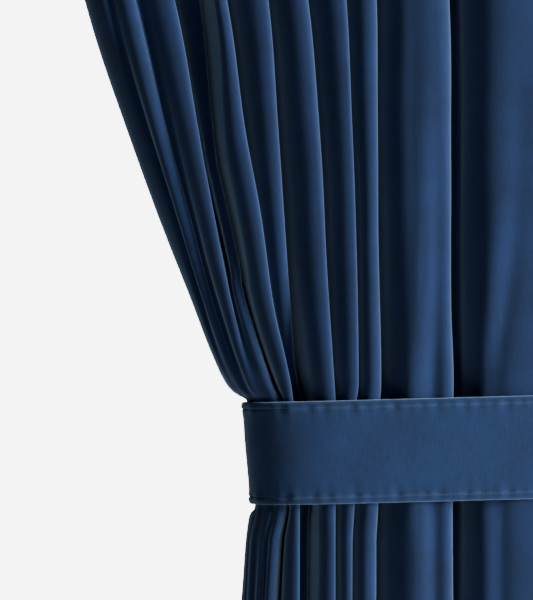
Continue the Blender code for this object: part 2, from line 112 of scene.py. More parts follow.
# Heights of the table columns, measured down from the top edge, in metres
HEADING, SHOULDER = 0.0, 0.60
HIGH, UPPER, MIDDLE, LOWER, NECK = 1.04, 1.13, 1.215, 1.305, 1.386
WAIST, UNDER, SKIRT = 1.402, 1.505, 1.54
VIEW_HEIGHTS = (HIGH, UPPER, MIDDLE, LOWER, NECK, WAIST, UNDER, SKIRT)
SHOULDER_SHARE = 0.42

# Crest lines from left to right, in millimetres: the flat cloth to the next
# crest, the lean to the right, the flat share of the left flank, and the right
# edge at each height
Fold = namedtuple("Fold", "name cloth lean flat high upper middle lower neck waist under skirt")
FIRST_EDGE = Fold._fields.index("high")
FOLDS = (
    Fold("edge_ridge", 36, 0.00, 0.0, -134, -108, -81, -52, -19, -4, 4, -3),
    Fold("edge_ripple", 46, 0.06, 0.0, -110, -89, -68, -43, -11, 0, 8, 2),
    Fold("bright_left", 100, 0.20, 0.0, -71, -55, -39, -22, 2, 11, 19, 12),
    Fold("inner_left", 108, 0.32, 0.0, -48, -40, -30, -9, 18, 24, 29, 22),
    Fold("third", 100, 0.40, 0.0, -20, -8, 7, 20, 38, 40, 46, 46),
    Fold("tucked", 108, 0.42, 0.0, 19, 25, 31, 36, 41, 44, 50, 50),
    Fold("fifth", 118, 0.42, 0.0, 57, 64, 70, 75, 80, 81, 81, 81),
    Fold("sixth", 110, 0.42, 0.0, 94, 98, 101, 103, 104, 102, 100, 98),
    Fold("seventh", 154, 0.40, 0.0, 122, 123, 124, 125, 126, 125, 123, 121),
    Fold("broad", 168, 0.34, 0.5, 192, 193, 194, 194, 196, 196, 195, 195),
    Fold("widest", 114, 0.26, 0.5, 284, 284, 284, 284, 284, 283, 283, 282),
    Fold("ninth", 104, 0.16, 0.0, 312, 312, 312, 312, 311, 311, 310, 310),
    Fold("last", 0, 0.06, 0.0, 334, 334, 334, 334, 332, 332, 331, 331),
)

# Crests that stand behind their neighbours, in millimetres
SetBack = namedtuple("SetBack", "name high upper middle lower neck waist under skirt")
SET_BACKS = (
    SetBack("inner_left", 24, 23, 16, 5, 0, 0, 0, 0),
    SetBack("tucked", 0, 0, 3, 13, 24, 24, 24, 24),
)

# Depth of the valley on the right of a crest, behind the deeper of the two
# crests beside it, in millimetres. The other valleys are as deep as their cloth
Valley = namedtuple(
    "Valley", "name heading shoulder high upper middle lower neck waist under skirt hem"
)
VALLEYS = (
    Valley("edge_ridge", 12, 7, 4, 4, 4, 3, 0.6, 0.5, 0.5, 0.6, 7),
    Valley("edge_ripple", 22, 13, 9, 9, 9, 8, 3, 0.6, 0.6, 1, 12),
    Valley("bright_left", 56, 56, 56, 56, 34, 5, 1, 1, 1, 2, 24),
)

# Soft ridges and troughs on the two wide folds, in millimetres
Ridge = namedtuple(
    "Ridge", "name half_width top_height low_height high upper middle lower neck skirt"
)
FIRST_MIDDLE = Ridge._fields.index("high")
RIDGES = (
    Ridge("broad_crest", 11, 1.0, 3.5, 172, 167, 166, 162, 156, 160),
    Ridge("broad_trough", 9, 0.0, -4.0, 184, 183, 182, 180, 177, 178),
    Ridge("widest_crest", 13, 1.5, 4.0, 244, 243, 240, 229, 216, 223),
    Ridge("widest_trough", 10, 0.0, -3.5, 262, 262, 258, 247, 234, 240),
)

# Left and right sides and front of the drape: depth in metres, place in millimetres
Station = namedtuple("Station", "down place")
LEFT_SIDE = (
    Station(0.0, -344), Station(0.60, -264), Station(1.04, -154), Station(1.13, -127),
    Station(1.215, -97), Station(1.305, -58), Station(1.36, -36), Station(1.385, -24),
    Station(1.394, -16), Station(1.402, -3.2), Station(1.454, 0.8), Station(1.505, 4.8),
    Station(1.515, -1), Station(1.565, -8), Station(1.90, -34), Station(2.45, -62),
)
RIGHT_SIDE = (
    Station(0.0, 344), Station(1.04, 343), Station(1.37, 340), Station(1.53, 340),
    Station(1.90, 346), Station(2.45, 356),
)
FRONT = (
    Station(0.0, -24), Station(0.60, -29), Station(1.04, -32), Station(1.37, -34),
    Station(1.388, -31), Station(1.508, -31), Station(1.53, -33), Station(1.90, -31),
    Station(2.45, -28),
)

# Share of its lean that a fold has at each depth
Share = namedtuple("Share", "down share")
LEAN_SHARE = (
    Share(0.0, 0.15), Share(0.60, 0.6), Share(1.04, 1.0), Share(1.54, 1.0),
    Share(2.0, 0.7), Share(2.45, 0.5),
)

# Slow wander of the crests and unevenness of their depth, away from the band
WANDER = 0.0035
WANDER_LENGTH = 0.62
WANDER_ABOVE = 0.98
WANDER_BELOW = 1.60
WANDER_FADE = 0.40
FOLD_PHASE = 2.4
CREST_UNEVEN = 0.0022
UNEVEN_PACE = 1.7
TIE_DOWN = 1.45
LEVEL_REACH = 0.0675
LOOSENING = 0.15
HEM_EVENNESS = 0.45

# Fineness of the tables that the outline and the flanks are read from
TURN_BEFORE = -0.12
TURN_AFTER = 0.70
TURN_STEP = 0.0005
WAY_SAMPLES = 900
FLATTEST_ARC = 0.05
ARC_SAMPLES = 200

# Rows of the fine panel: stretches of depth in metres and the rows in each
Stretch = namedtuple("Stretch", "start end rows")
ROW_STRETCHES = (
    Stretch(0.0, 0.050, 4), Stretch(0.050, 0.066, 5), Stretch(0.066, 0.95, 20),
    Stretch(0.95, 1.34, 38), Stretch(1.34, 1.42, 24), Stretch(1.42, 1.49, 5),
    Stretch(1.49, 1.56, 16), Stretch(1.56, 1.66, 8), Stretch(1.66, 2.362, 16),
    Stretch(2.362, 2.378, 5), Stretch(2.378, 2.45, 5),
)
DROP = ROW_STRETCHES[-1].end

# Columns of the fine panel: steps along each stretch of a fold and each side
COLUMN_STEPS = {"crest": 6, "wall": 2, "valley": 4, "flat": 10, "side": 14}

# Slow ripples of the hanging cloth, in metres: how far apart they are across
# and down the cloth, their height and their phase
Ripple = namedtuple("Ripple", "across down height phase")
RIPPLES = (
    Ripple(0.190, 0.62, 0.00050, 0.4), Ripple(-0.137, 0.47, 0.00040, 2.1),
    Ripple(0.083, -0.29, 0.00024, 4.0), Ripple(0.061, 0.171, 0.00016, 5.3),
)

# Sewn thread, in metres: pitch, length and radius of a stitch, and its radius
# along it
STITCH_PITCH = 0.0036
STITCH_LENGTH = 0.0029
STITCH_RADIUS = 0.00032
STITCH_SIDES = 6
STITCH_SHARES = (0.0, 0.15, 0.5, 0.85, 1.0)
STITCH_SWELL = (0.25, 0.85, 1.0, 0.85, 0.25)
HEM_STITCH_DOWNS = (0.058, 2.370)
THREAD_ROUGHNESS = 0.55
THREAD_TWIST_SCALE = 900.0
THREAD_DARK = (0.006, 0.014, 0.045, 1)
THREAD_LIGHT = (0.018, 0.036, 0.095, 1)

# Soft unevenness of the band, in metres: puckers beside the sewn lines, by
# their length and height, the slack of the face between them, and the height
# over which the slack's waves shift by one radian
PUCKER_LENGTHS = (0.0135, 0.0217, 0.0391)
PUCKER_HEIGHT = 0.00030
PUCKER_REACH = 0.0060
PUCKER_PHASE = 9
SLACK_LENGTH = 0.115
SLACK_HEIGHT = 0.0009
SLACK_SHIFT = 0.03

# Band, in metres: its middle, its rise to the right, how its left end leans
# in, its tails, the gap to the drape, and its sewn and rolled edges
BAND_MIDDLE = -1.4534
BAND_RISE = 0.0265
BAND_LEFT_TOP = -0.0044
BAND_LEFT_BOTTOM = 0.0034
BAND_TAIL = 0.026
BAND_BEND = 0.012
BAND_TAIL_SPACE = 0.006
PIECE_GAP = 0.0006
SEAM_FROM_EDGE = 0.0072
SEAM_WIDTH = 0.0011
SEAM_DEPTH = 0.0010
ROLL_HEIGHT = 0.0006

# Points of the band's plan: each tail, the bend of the back tail, the back run
# and the front run, and the points of its section: the stretch beside each
# edge, how far that goes down, the face between, an edge and the inner face
BACK_TAIL_POINTS = 4
BEND_POINTS = 9
BACK_RUN_POINTS = 88
FRONT_RUN_POINTS = 330
FRONT_TAIL_POINTS = 11
SEAM_STRETCH = 0.012
SEAM_POINTS = 26
FACE_POINTS = 10
EDGE_POINTS = 7
INNER_POINTS = 14


def even_curve(stations, values, at):
    """A smooth curve through the values that never passes beyond them: cubic
    pieces whose slope at a station is the harmonic mean of its neighbours'."""
    stations = np.asarray(stations, float)
    values = np.asarray(values, float)
    step = np.diff(stations)[:, None]
    rise = np.diff(values, axis=0) / step
    before, after = rise[:-1], rise[1:]
    product = before * after
    safe = np.where(product > 0, before + after, 1.0)
    slope = np.zeros_like(values)
    slope[1:-1] = np.where(product > 0, 2 * product / safe, 0.0)
    slope[-1] = rise[-1]
    cell = np.clip(np.searchsorted(stations, at, side="right") - 1, 0, len(stations) - 2)
    width = step[cell]
    t = ((at - stations[cell])[:, None]) / width
    return (
        values[cell] * (1 + 2 * t) * (1 - t) ** 2
        + slope[cell] * width * t * (1 - t) ** 2
        + values[cell + 1] * t**2 * (3 - 2 * t)
        + slope[cell + 1] * width * t**2 * (t - 1)
    )


def read_table(table, down):
    """Second column of a table of depths, read at each depth, as one column."""
    return even_curve([row[0] for row in table], [[row[1]] for row in table], down)


def side_at(stations, down):
    """Place of one side of the drape at each depth, in metres."""
    return read_table(stations, down) * MM


def running_sum(values):
    """Sum of a curve's values over its own steps, starting at nothing."""
    steps = (values[1:] + values[:-1]) / 2 * TURN_STEP
    return np.concatenate([[0], np.cumsum(steps)])


def side_turn(ease):
    """Way along a side's outline, and its lag, fall and angle there.

    The outline starts facing sideways and turns to the front by a quarter
    turn times exp(-way / ease); before its start it turns on at that rate.
    Lag and fall are the sums of 1 - cos and of sin of the angle left to turn.
    """
    way = np.arange(TURN_BEFORE, TURN_AFTER, TURN_STEP)
    away = QUARTER * np.where(way > 0, np.exp(-np.maximum(way, 0) / ease), 1 - way / ease)
    across = running_sum(np.cos(away))
    back = running_sum(np.sin(away))
    start = np.searchsorted(way, 0)
    lag = (way - way[start]) - (across - across[start])
    return way, lag, back[-1] - back, away


LEFT_TURN = side_turn(LEFT_EASE)
RIGHT_TURN = side_turn(RIGHT_EASE)
LEFT_LAG = LEFT_TURN[1][-1]
RIGHT_LAG = RIGHT_TURN[1][-1]


def read_turn(turn, way):
    grid, *columns = turn
    return (np.interp(way, grid, column) for column in columns)


def outline_length(left, right):
    return right - left + LEFT_LAG + RIGHT_LAG


def on_outline(way, inward, left, right, front):
    """Plan place of a point: the outline at that way, less the outline's
    outward direction times the distance inward."""
    from_right = outline_length(left, right) - way
    left_lag, left_fall, left_away = read_turn(LEFT_TURN, way)
    right_lag, right_fall, right_away = read_turn(RIGHT_TURN, from_right)
    x = left + way - left_lag - (RIGHT_LAG - right_lag)
    y = front + left_fall + right_fall
    facing_x = np.sin(right_away) - np.sin(left_away)
    facing_y = -np.cos(left_away) * np.cos(right_away)
    return x - inward * facing_x, y - inward * facing_y


def way_of(x, left, right):
    """The way along the outline at which it stands at x, for each row."""
    found = np.empty_like(x)
    for row in range(len(x)):
        way = np.linspace(0, float(outline_length(left[row, 0], right[row, 0])), WAY_SAMPLES)
        place = on_outline(way, 0.0, left[row, 0], right[row, 0], 0.0)[0]
        found[row] = np.interp(x[row], place, way)
    return found


def edge_stations():
    """Right edge of every crest at the heading, the shoulder, the heights of
    the table and the hem. At the heading the crests stand by their share of
    the cloth, and at the hem between that and the way they leave the band."""
    left_heading, right_heading = LEFT_SIDE[0].place * MM, RIGHT_SIDE[0].place * MM
    left_hem, right_hem = LEFT_SIDE[-1].place * MM, RIGHT_SIDE[-1].place * MM
    cloth = np.array([fold.cloth for fold in FOLDS]) * MM
    before = np.concatenate([[0], np.cumsum(cloth[:-1])])
    start = LEFT_RETURN + FIRST_CREST_CLOTH
    share = (start + before) / (start + before[-1] + RIGHT_RETURN + LAST_CREST_CLOTH)
    view = np.array([fold[FIRST_EDGE:] for fold in FOLDS]).T * MM
    heading = left_heading + (right_heading - left_heading) * share
    shoulder = heading + (view[0] - heading) * SHOULDER_SHARE
    skirt = np.array([SKIRT])
    skirt_left = float(side_at(LEFT_SIDE, skirt)[0, 0])
    skirt_right = float(side_at(RIGHT_SIDE, skirt)[0, 0])
    kept = (view[-1] - skirt_left) / (skirt_right - skirt_left)
    hem = left_hem + (right_hem - left_hem) * (kept + (share - kept) * HEM_EVENNESS)
    return np.vstack([heading, shoulder, view, hem])


def looseness(down):
    """From 0 in the band to 1 where the cloth hangs free of it."""
    return np.clip((np.abs(down - TIE_DOWN) - LEVEL_REACH) / LOOSENING, 0, 1)[:, None]


def crest_lines(down):
    """Both sides, and each crest's edge, set-back and lean, rows by folds: the
    tables read at each depth, plus slow sine waves away from the band."""
    left, right = side_at(LEFT_SIDE, down), side_at(RIGHT_SIDE, down)
    stations = (HEADING, SHOULDER, *VIEW_HEIGHTS, DROP)
    edge = even_curve(stations, edge_stations(), down)
    names = [fold.name for fold in FOLDS]
    back = np.zeros((len(stations), len(FOLDS)))
    for row in SET_BACKS:
        back[2:-1, names.index(row.name)] = np.array(row[1:]) * MM
    number = np.arange(len(FOLDS))
    above, below = WANDER_ABOVE - down, down - WANDER_BELOW
    free = np.clip(np.maximum(above, below) / WANDER_FADE, 0, 1)[:, None]
    turn = 2 * np.pi * down[:, None] / WANDER_LENGTH + FOLD_PHASE * number
    edge = edge + WANDER * free * np.sin(turn)
    uneven = 1 + np.sin(UNEVEN_PACE * turn + number)
    set_back = even_curve(stations, back, down) + CREST_UNEVEN * looseness(down) * uneven
    lean = np.array([fold.lean for fold in FOLDS]) * read_table(LEAN_SHARE, down)
    return left, right, edge, set_back, lean


def flank(run, cloth, crest_round, crest, wall, valley):
    """One side of a fold: an arc, a straight wall and an arc back.

    The arcs turn a quarter where there is cloth enough, and otherwise by the
    angle at which arcs and the shortest wall together span the run. Crest,
    wall and valley say how far along each of the three the point is.
    """
    angles = np.linspace(QUARTER, FLATTEST_ARC, ARC_SAMPLES)
    arcs = 1 - LEAST_WALL
    spans = arcs * np.sin(angles) / angles + LEAST_WALL * np.cos(angles)
    angle = np.interp(run / cloth, spans, angles)
    radius = np.minimum(arcs * cloth / angle, run / np.sin(angle))
    straight = cloth - radius * angle
    top, low = crest_round * radius, (1 - crest_round) * radius
    rest = angle * (1 - valley)
    across = top * np.sin(crest * angle) + straight * wall * np.cos(angle)
    across = across + low * (np.sin(angle) - np.sin(rest))
    inward = top * (1 - np.cos(crest * angle)) + straight * wall * np.sin(angle)
    inward = inward + low * (np.cos(rest) - np.cos(angle))
    return across, inward


def fold_columns():
    """Columns between the first and the last crest: the fold, 0 for the flank
    that falls from it or 1 for the one that climbs to the next, and how far
    along the flat, crest arc, wall and valley arc the column lies."""
    crest = np.arange(COLUMN_STEPS["crest"]) / COLUMN_STEPS["crest"]
    wall = np.arange(COLUMN_STEPS["wall"]) / COLUMN_STEPS["wall"]
    valley = np.arange(COLUMN_STEPS["valley"]) / COLUMN_STEPS["valley"]
    columns = []
    for number in range(len(FOLDS) - 1):
        columns += [(number, 0, 0, k, 0, 0) for k in crest]
        columns += [(number, 0, 0, 1, k, 0) for k in wall]
        columns += [(number, 0, 0, 1, 1, k) for k in valley]
        columns += [(number, 1, 1, 1, 1, 1 - k) for k in valley]
        columns += [(number, 1, 1, 1, 1 - k, 0) for k in wall]
        columns += [(number, 1, 1, 1 - k, 0, 0) for k in crest]
        if FOLDS[number + 1].flat > 0:
            flat = np.arange(COLUMN_STEPS["flat"]) / COLUMN_STEPS["flat"]
            columns += [(number, 1, 1 - k, 0, 0, 0) for k in flat]
    return np.array(columns).T


def tightness(run):
    """From 0 on a roomy fold to 1 on one as narrow as a fold can be."""
    return np.clip((TIGHT_FOLD - run) / (TIGHT_FOLD - LEAST_RUN), 0, 1)


def valley_depths(down, set_back):
    """Depth that the valley on the right of each crest may have, from the
    front, and the least width of a fold around it: a shallow one is narrower."""
    stations = (HEADING, SHOULDER, *VIEW_HEIGHTS, DROP)
    names = [fold.name for fold in FOLDS]
    table = np.full((len(stations), len(FOLDS) - 1), DEEPEST_FOLD)
    for row in VALLEYS:
        table[:, names.index(row.name)] = np.array(row[1:]) * MM
    depth = even_curve(stations, table, down)
    least = LEAST_RUN * np.clip(depth / ROOMY_DEPTH, SHALLOW_RUN_SHARE, 1)
    behind = np.maximum(set_back[:, :-1], set_back[:, 1:])
    return np.minimum(behind + depth, DEEPEST_FOLD), least


def short_flank(run, least):
    """Width of the flank on the right of a crest, for a fold of this width."""
    wide = np.clip((run - WIDE_FOLD / 2) / (WIDE_FOLD / 2), 0, 1)
    share = SHORT_FLANK + (WIDE_SHORT_FLANK - SHORT_FLANK) * wide
    share = share + (TIGHT_SHORT_FLANK - SHORT_FLANK) * tightness(run)
    return share * np.maximum(run, least)


def valley_starts(left, right, edge, set_back, lean, least):
    """Way along the outline at which each crest starts to fall: its edge less
    its rounding and lean, with two crests at least the narrowest fold apart."""
    start = way_of(edge, left, right) - lean * (LEAN_REACH - set_back)
    short = short_flank(np.diff(start, axis=1), least)
    overhang = np.sqrt(1 + lean[:, :-1] ** 2) - lean[:, :-1]
    start[:, :-1] -= SHORT_CREST_ROUND * short * overhang
    room = np.hstack([np.zeros_like(left), np.cumsum(least, axis=1)])
    return np.maximum.accumulate(start - room, axis=1) + room


def cloth_of(depth, run):
    """Cloth that a flank of this depth and width takes: two equal arcs, which
    turn a quarter each once the depth reaches the width, and then a wall."""
    angle = 2 * np.arctan(np.clip(depth / run, SHALLOWEST / run, 1))
    return run * angle / np.sin(angle) + np.maximum(depth - run, 0)


def flank_cloth(start, set_back, deepest, flat_run, short, long):
    """Cloth of the flanks right and left of each valley, less the cloth that
    has no room in depth."""
    cloth = np.array([fold.cloth for fold in FOLDS[:-1]]) * MM - flat_run
    middle = (start[:, 1:] + start[:, :-1]) / 2
    turn_radius = LEFT_EASE / QUARTER * np.exp(np.minimum(middle / LEFT_EASE, TURNED_WAY))
    deepest = np.minimum(deepest, TURNED_DEPTH_SHARE * turn_radius)
    drop_change = set_back[:, 1:] - set_back[:, :-1] + (QUARTER - 1) * (short - long)
    right_cloth = np.maximum((cloth + drop_change) / 2, short * LEAST_CLOTH)
    left_cloth = np.maximum(cloth - right_cloth, long * LEAST_CLOTH)
    right_most = cloth_of(deepest - set_back[:, :-1], short)
    left_most = cloth_of(deepest - set_back[:, 1:], long)
    return np.minimum(right_cloth, right_most), np.minimum(left_cloth, left_most)


def ridges(way, inward, down, left, right, front):
    """Lift of the soft ridges: bell curves across the cloth whose middle and
    height are read from the table at each depth."""
    x = on_outline(way, inward, left, right, front)[0]
    stations = (HEADING, HIGH, UPPER, MIDDLE, LOWER, NECK, SKIRT, DROP)
    lift = np.zeros_like(x)
    for ridge in RIDGES:
        run = [ridge.high, *ridge[FIRST_MIDDLE:], ridge.skirt]
        grown = np.linspace(ridge.top_height, ridge.low_height, len(stations) - 3)
        heights = [0, *grown, ridge.low_height, 0]
        middle = even_curve(stations, np.array(run)[:, None] * MM, down)
        height = even_curve(stations, np.array(heights)[:, None] * MM, down)
        near_front = np.clip(1 - inward / RIDGE_DEPTH, 0, 1)
        lift += height * near_front * np.exp(-(((x - middle) / (ridge.half_width * MM)) ** 2))
    return lift


def panel_surface(down):
    """Middle surface of the drape, rows by columns by xyz: for each row the
    flanks of every fold, sheared by the lean, set off from the outline."""
    left, right, edge, set_back, lean = crest_lines(down)
    front = side_at(FRONT, down)
    deepest, least = valley_depths(down, set_back)
    start = valley_starts(left, right, edge, set_back, lean, least)
    run = np.diff(start, axis=1)
    short = short_flank(run, least)
    flat_run = (run - short) * np.array([fold.flat for fold in FOLDS[1:]])
    long = run - short - flat_run
    right_cloth, left_cloth = flank_cloth(start, set_back, deepest, flat_run, short, long)

    tight = tightness(run)
    short_round = SHORT_CREST_ROUND + (TIGHT_CREST_ROUND - SHORT_CREST_ROUND) * tight
    long_round = LONG_CREST_ROUND + (TIGHT_CREST_ROUND - LONG_CREST_ROUND) * tight
    right_back, left_back = set_back[:, :-1], set_back[:, 1:]
    right_valley = flank(short, right_cloth, short_round, 1, 1, 1)[1] + right_back
    left_valley = flank(long, left_cloth, long_round, 1, 1, 1)[1] + left_back
    valley = (right_valley + left_valley) / 2
    down_scale = (valley - right_back) / (right_valley - right_back)
    up_scale = (valley - left_back) / (left_valley - left_back)

    fold, climbs, flat, crest, wall, low = fold_columns()
    fold = fold.astype(int)
    falls = (short[:, fold], right_cloth[:, fold], short_round[:, fold])
    rises = (long[:, fold], left_cloth[:, fold], long_round[:, fold])
    fall_across, fall_inward = flank(*falls, crest, wall, low)
    rise_across, rise_inward = flank(*rises, crest, wall, low)
    fall_way = start[:, fold] + fall_across
    rise_way = start[:, fold + 1] - rise_across - flat_run[:, fold] * flat
    fall_inward = right_back[:, fold] + fall_inward * down_scale[:, fold]
    rise_inward = left_back[:, fold] + rise_inward * up_scale[:, fold]
    way = np.where(climbs > 0, rise_way, fall_way)
    inward = np.where(climbs > 0, rise_inward, fall_inward)
    crown = FLAT_CROWN * flat**2 * (flat_run[:, fold] > 0)
    inward = inward + crown * (1 - np.maximum(wall, low))

    part = (way - start[:, fold]) / run[:, fold]
    column_lean = lean[:, fold] + (lean[:, fold + 1] - lean[:, fold]) * part
    way = way + column_lean * (LEAN_REACH - inward)
    lift = ridges(way, inward, down, left, right, front)
    inward = inward - np.minimum(lift, inward)

    first, last_back = inward[:, :1], set_back[:, -1:]
    last = start[:, -1:] + lean[:, -1:] * (LEAN_REACH - last_back)
    end = outline_length(left, right) + RIGHT_RETURN
    left_share = np.arange(COLUMN_STEPS["side"]) / COLUMN_STEPS["side"]
    left_hem = -LEFT_RETURN + (way[:, :1] + LEFT_RETURN) * left_share
    right_hem = last + (end - last) * np.linspace(0, 1, COLUMN_STEPS["side"])
    left_inward = np.broadcast_to(first, left_hem.shape)
    right_inward = np.broadcast_to(last_back, right_hem.shape)
    way = np.hstack([left_hem, way, right_hem])
    inward = np.hstack([left_inward, inward, right_inward])
    x, y = on_outline(way, inward, left, right, front)
    z = np.broadcast_to(-down[:, None], x.shape)
    return np.stack([x, y, z], axis=2)


def surface_normals(points):
    """Unit normals of a grid: the cross product of its two central slopes."""
    normal = np.cross(np.gradient(points, axis=0), np.gradient(points, axis=1))
    return normal / np.maximum(np.linalg.norm(normal, axis=2, keepdims=True), SMALLEST)


def cloth_places(points, down):
    """Flat place of each grid point: across, the mean running length of the
    rows, and down, the depth."""
    steps = np.linalg.norm(np.diff(points, axis=1), axis=2).mean(axis=0)
    across = np.concatenate([[0], np.cumsum(steps)])
    return np.stack(np.broadcast_arrays(across[None, :], -down[:, None]), axis=2)


def ripple_height(across, down):
    """Sum of slow sine waves that run slantwise over the cloth."""
    height = np.zeros(np.broadcast_shapes(across.shape, down.shape))
    for ripple in RIPPLES:
        turn = across / ripple.across + down / ripple.down
        height += ripple.height * np.sin(2 * np.pi * turn + ripple.phase)
    return height


def grid_faces(rows, columns, closed=False):
    """Quads of a grid of points, numbered row by row."""
    corner = np.arange(rows * columns).reshape(rows, columns)
    if closed:
        corner = np.hstack([corner, corner[:, :1]])
    return np.stack(
        [corner[:-1, :-1], corner[1:, :-1], corner[1:, 1:], corner[:-1, 1:]], axis=2
    ).reshape(-1, 4)


def stitch_points(path, normal):
    """Thread of a sewn line: along the path, one spindle for each pitch, made
    of rings round the path whose radius swells from its ends to its middle."""
    along = np.concatenate([[0], np.cumsum(np.linalg.norm(np.diff(path, axis=0), axis=1))])
    number = int(along[-1] / STITCH_PITCH)
    middle = (np.arange(number) + 0.5) * STITCH_PITCH
    at = middle[:, None] + (np.array(STITCH_SHARES) - 0.5) * STITCH_LENGTH
    place = np.stack([np.interp(at, along, path[:, k]) for k in range(3)], axis=2)
    out = np.stack([np.interp(at, along, normal[:, k]) for k in range(3)], axis=2)
    out /= np.linalg.norm(out, axis=2, keepdims=True)
    ahead = place[:, -1:] - place[:, :1]
    ahead = ahead / np.linalg.norm(ahead, axis=2, keepdims=True)
    side = np.cross(ahead, out)
    angle = np.linspace(0, 2 * np.pi, STITCH_SIDES, endpoint=False)[None, None, :, None]
    radius = STITCH_RADIUS * np.array(STITCH_SWELL)[None, :, None, None]
    ring = np.cos(angle) * side[:, :, None, :] + np.sin(angle) * out[:, :, None, :]
    return place[:, :, None, :] + radius * ring


def stitch_faces(number):
    """Faces of that many spindles: rings joined by quads, and a cap each end."""
    rings = len(STITCH_SHARES)
    quads = grid_faces(rings, STITCH_SIDES, closed=True)
    shift = np.arange(number)[:, None, None] * rings * STITCH_SIDES
    faces = (quads[None] + shift).reshape(-1, 4).tolist()
    first = np.arange(STITCH_SIDES)[None] + shift[:, 0]
    faces += first.tolist()
    faces += (first[:, ::-1] + (rings - 1) * STITCH_SIDES).tolist()
    return faces


def new_piece(name, points, faces, material, places=None):
    """A mesh object at the origin, with its flat places as the UV map."""
    mesh = bpy.data.meshes.new(name)
    mesh.from_pydata(points.reshape(-1, 3).tolist(), [], faces)
    mesh.materials.append(material)
    mesh.shade_smooth()
    if places is not None:
        corners = np.empty(len(mesh.loops), np.int32)
        mesh.loops.foreach_get("vertex_index", corners)
        layer = mesh.uv_layers.new(name="cloth")
        layer.data.foreach_set("uv", places.reshape(-1, 2)[corners].astype(np.float32).ravel())
    obj = bpy.data.objects.new(name, mesh)
    bpy.context.scene.collection.objects.link(obj)
    return obj


def row_depths():
    """Depth of every row, from the table of stretches."""
    rows = [
        np.linspace(stretch.start, stretch.end, stretch.rows, endpoint=False)
        for stretch in ROW_STRETCHES
    ]
    return np.concatenate([*rows, [DROP]])


# Velvet pile: how much the ground is darkened and lightened by the mottling,
# where on its scale, the nap's streaks across and along the cloth for each
# metre, the mottling's scale, and the height of the relief in metres
PILE_DARK = 0.62
PILE_LIGHT = 1.35
MOTTLE_FROM = 0.30
MOTTLE_TO = 0.72
NAP_STREAKS = (420.0, 95.0, 1.0)
MOTTLE_SCALE = 22.0
PILE_HEIGHT = 0.0006
# Tint of the ground on each piece: none on the drape; on the band the same velvet's ground is made
# lighter and greyer, which is painted light
DRAPE_TINT = (1.0, 1.0, 1.0)
BAND_PAINTED_LIGHT_TINT = (1.4, 1.35, 1.2)


def node(tree, kind, **values):
    """A shader node with its properties and input defaults set by name."""
    made = tree.nodes.new(kind)
    for key, value in values.items():
        if key in made.inputs:
            made.inputs[key].default_value = value
        else:
            setattr(made, key, value)
    return made


def pile_colour(look, tint, share):
    """The ground colour times the tint and a share, as a shader colour."""
    return (*[ground * share * part for ground, part in zip(look.ground, tint)], 1)


def velvet_material(name, look, tint):
    """Deep pile: a dark ground with blue sheen, whose colour and relief follow
    the mean of fine streaks along the nap and soft mottling."""
    material = bpy.data.materials.new(name)
    material.use_nodes = True
    tree = material.node_tree
    shader = tree.nodes["Principled BSDF"]
    shader.inputs["Roughness"].default_value = look.roughness
    shader.inputs["Sheen Weight"].default_value = look.sheen
    shader.inputs["Sheen Roughness"].default_value = look.sheen_roughness
    shader.inputs["Sheen Tint"].default_value = (*look.sheen_tint, 1.0)
    shader.inputs["Specular IOR Level"].default_value = look.specular
    uv = node(tree, "ShaderNodeUVMap", uv_map="cloth")
    nap = node(tree, "ShaderNodeMapping")
    nap.inputs["Scale"].default_value = NAP_STREAKS
    tree.links.new(uv.outputs["UV"], nap.inputs["Vector"])
    streaks = node(tree, "ShaderNodeTexNoise", Scale=1.0, Detail=3.0, Roughness=0.6)
    tree.links.new(nap.outputs["Vector"], streaks.inputs["Vector"])
    mottle = node(
        tree, "ShaderNodeTexNoise", Scale=MOTTLE_SCALE, Detail=4.0, Roughness=0.55
    )
    tree.links.new(uv.outputs["UV"], mottle.inputs["Vector"])
    blend = node(tree, "ShaderNodeMath", operation="ADD")
    tree.links.new(streaks.outputs["Fac"], blend.inputs[0])
    tree.links.new(mottle.outputs["Fac"], blend.inputs[1])
    ramp = node(tree, "ShaderNodeValToRGB")
    dark, light = ramp.color_ramp.elements
    dark.position = MOTTLE_FROM
    dark.color = pile_colour(look, tint, PILE_DARK)
    light.position = MOTTLE_TO
    light.color = pile_colour(look, tint, PILE_LIGHT)
    half = node(tree, "ShaderNodeMath", operation="MULTIPLY")
    half.inputs[1].default_value = 0.5
    tree.links.new(blend.outputs[0], half.inputs[0])
    tree.links.new(half.outputs[0], ramp.inputs["Fac"])
    tree.links.new(ramp.outputs["Color"], shader.inputs["Base Color"])
    bump = node(tree, "ShaderNodeBump", Strength=look.pile_relief, Distance=PILE_HEIGHT)
    tree.links.new(half.outputs[0], bump.inputs["Height"])
    tree.links.new(bump.outputs["Normal"], shader.inputs["Normal"])
    return material


class DrapeSizes(bpy.types.PropertyGroup):
    """Sizes of the drape's cloth."""

    thickness: FloatProperty(
        name="Cloth thickness", description="Thickness of the velvet with its pile",
        default=0.002, min=0.0005, unit="LENGTH",
    )
    flat_width: FloatProperty(
        name="Flat width", description="Width of the panel before it was gathered",
        default=1.40, unit="LENGTH",
    )


class BandSizes(bpy.types.PropertyGroup):
    """Sizes of the tieback band."""

    height: FloatProperty(
        name="Band height", description="Height of the finished band",
        default=0.100, unit="LENGTH",
    )
    thickness: FloatProperty(
        name="Band thickness", description="Thickness of the two layers together",
        default=0.003, unit="LENGTH",
    )


